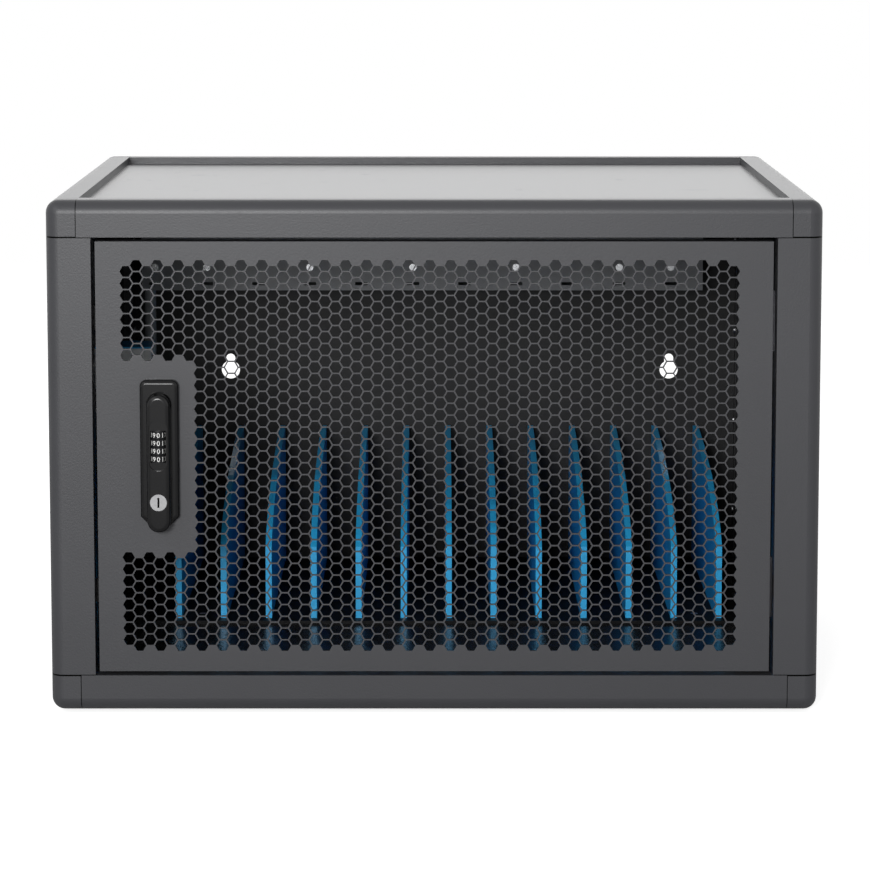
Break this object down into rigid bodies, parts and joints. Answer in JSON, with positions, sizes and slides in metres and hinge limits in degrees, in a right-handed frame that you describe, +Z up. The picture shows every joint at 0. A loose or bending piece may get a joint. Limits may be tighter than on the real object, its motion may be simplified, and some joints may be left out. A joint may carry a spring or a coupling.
{
  "type": "laptop charging cabinet",
  "caption": "Low steel charging cabinet with a perforated swing door, combination lock handle, upright laptop dividers and a rear outlet rail.",
  "frame": {"origin": "on the floor, under the middle of the overall box", "axes": "+X to the right seen from the front, +Y to the back, +Z up"},
  "size_m": [0.65, 0.53, 0.438],
  "materials": {
    "charcoal_steel": "fine-texture charcoal powder coat",
    "gloss_black": "glossy black moulded plastic",
    "matte_black": "matte black plastic",
    "blue_plastic": "satin blue plastic",
    "white_plastic": "satin white plastic",
    "grey_steel": "grey powder coat",
    "zinc_steel": "zinc-plated steel",
    "chrome": "bright nickel",
    "rubber": "black rubber",
    "brass": "bare brass"
  },
  "bodies": {
    "cabinet": {"cabinet_screws": "zinc_steel", "conduits": "grey_steel", "corner_blocks": "charcoal_steel", "divider_01": "blue_plastic", "divider_02": "blue_plastic", "divider_03": "blue_plastic", "divider_04": "blue_plastic", "divider_05": "blue_plastic", "divider_06": "blue_plastic", "divider_07": "blue_plastic", "divider_08": "blue_plastic", "divider_09": "blue_plastic", "divider_10": "blue_plastic", "divider_11": "blue_plastic", "divider_12": "blue_plastic", "divider_13": "blue_plastic", "divider_base": "matte_black", "door_stops": "rubber", "feet": "rubber", "floor_panel": "charcoal_steel", "front_beam_bottom": "charcoal_steel", "front_beam_top": "charcoal_steel", "front_post_left": "charcoal_steel", "front_post_right": "charcoal_steel", "hinge_arms": "zinc_steel", "hinge_pins": "zinc_steel", "inlet_blades": "brass", "outlet_rail": "grey_steel", "outlets": "matte_black", "power_inlet": "matte_black", "rear_beams": "charcoal_steel", "rear_panel": "charcoal_steel", "rear_posts": "charcoal_steel", "side_beams": "charcoal_steel", "side_panel_left": "charcoal_steel", "side_panel_right": "charcoal_steel", "strike_plate": "zinc_steel", "switch_body": "matte_black", "switch_pin": "zinc_steel", "timer_box": "white_plastic", "timer_lid": "blue_plastic", "top_panel": "charcoal_steel"},
    "door": {"door_sheet": "charcoal_steel", "door_ring": "charcoal_steel", "hinge_leaves": "zinc_steel", "handle_plate": "gloss_black", "backing_plate": "zinc_steel", "lock_screws": "zinc_steel"},
    "handle_spindle": {"handle_spindle": "zinc_steel", "latch_cam": "zinc_steel", "cam_nut": "zinc_steel"},
    "handle_lever": {"handle_lever": "gloss_black", "lever_pins": "zinc_steel"},
    "dial_1": {"number_dial_1": "matte_black"},
    "dial_2": {"number_dial_2": "matte_black"},
    "dial_3": {"number_dial_3": "matte_black"},
    "dial_4": {"number_dial_4": "matte_black"},
    "key_plug": {"key_plug": "chrome"},
    "power_rocker": {"switch_rocker": "matte_black"}
  },
  "joints": [
    {"name": "door_hinge", "type": "hinge", "parent": "cabinet", "child": "door", "pos_m": [0.2755, -0.237, 0.2205], "axis": [0, 0, 1], "range_deg": [0, 105]},
    {"name": "handle_turn", "type": "hinge", "parent": "door", "child": "handle_spindle", "pos_m": [-0.2306, -0.245, 0.267], "axis": [0, -1, 0], "range_deg": [0, 90]},
    {"name": "handle_lift", "type": "hinge", "parent": "handle_spindle", "child": "handle_lever", "pos_m": [-0.2306, -0.2583, 0.267], "axis": [-1, 0, 0], "range_deg": [0, 35]},
    {"name": "dial_1_spin", "type": "hinge", "parent": "handle_lever", "child": "dial_1", "pos_m": [-0.2306, -0.259, 0.2431], "axis": [0, 0, 1], "continuous": true},
    {"name": "dial_2_spin", "type": "hinge", "parent": "handle_lever", "child": "dial_2", "pos_m": [-0.2306, -0.259, 0.23636], "axis": [0, 0, 1], "continuous": true},
    {"name": "dial_3_spin", "type": "hinge", "parent": "handle_lever", "child": "dial_3", "pos_m": [-0.2306, -0.259, 0.22961], "axis": [0, 0, 1], "continuous": true},
    {"name": "dial_4_spin", "type": "hinge", "parent": "handle_lever", "child": "dial_4", "pos_m": [-0.2306, -0.259, 0.22287], "axis": [0, 0, 1], "continuous": true},
    {"name": "key_turn", "type": "hinge", "parent": "handle_lever", "child": "key_plug", "pos_m": [-0.2306, -0.2643, 0.186], "axis": [0, -1, 0], "range_deg": [0, 90]},
    {"name": "rocker_tilt", "type": "hinge", "parent": "cabinet", "child": "power_rocker", "pos_m": [-0.278, 0.2555, 0.108], "axis": [1, 0, 0], "range_deg": [-8, 8]}
  ]
}
